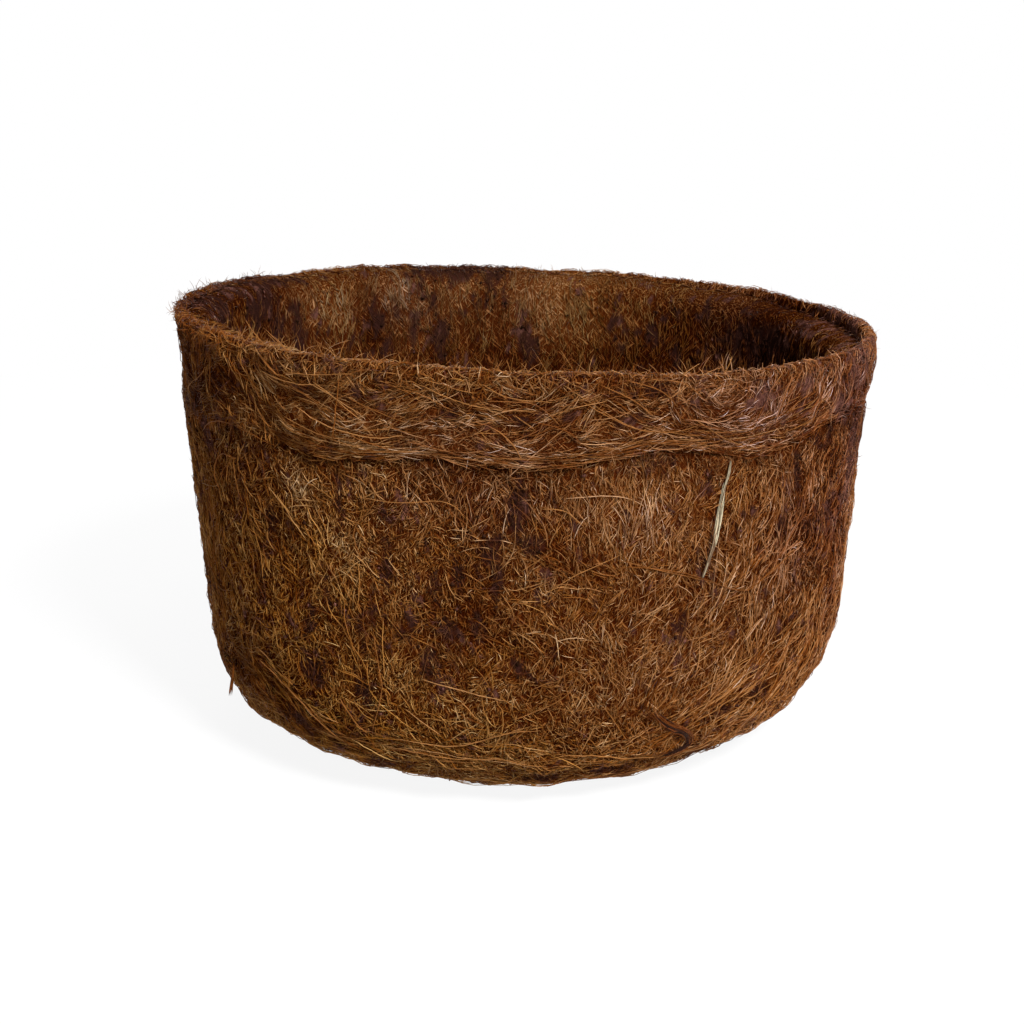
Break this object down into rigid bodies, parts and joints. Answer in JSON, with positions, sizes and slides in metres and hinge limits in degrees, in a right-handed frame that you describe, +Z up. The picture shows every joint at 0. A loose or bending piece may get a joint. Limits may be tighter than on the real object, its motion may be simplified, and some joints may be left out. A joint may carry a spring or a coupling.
{
  "type": "coir pot",
  "caption": "Round tapering plant pot of pressed coconut-fibre felt, with a wrapped collar, a rounded foot and an open planting space.",
  "frame": {"origin": "middle of the flat underside that the pot stands on", "axes": "+Z up through the open mouth; -Y is the front, the side with the pale husk sliver; +X is the low side of the leaning rim"},
  "size_m": [0.2499, 0.2515, 0.153],
  "materials": {
    "coir_felt": "rough tangled coconut fibre, tan to dark brown",
    "collar_felt": "rough combed coconut fibre, golden brown",
    "lining_felt": "fine dark coconut fibre, matted",
    "combed_fibre": "long combed coconut fibres, reddish brown",
    "pale_husk": "dry pale husk",
    "dark_husk": "dark husk with a slight gloss",
    "tan_husk": "dry tan husk"
  },
  "bodies": {
    "root": {"wall_felt": "coir_felt", "base_felt": "coir_felt", "inner_lining": "lining_felt", "rim_collar": "collar_felt", "foot_band": "combed_fibre", "husk_sliver": "pale_husk", "husk_strip": "dark_husk", "husk_spike": "tan_husk"}
  },
  "joints": []
}
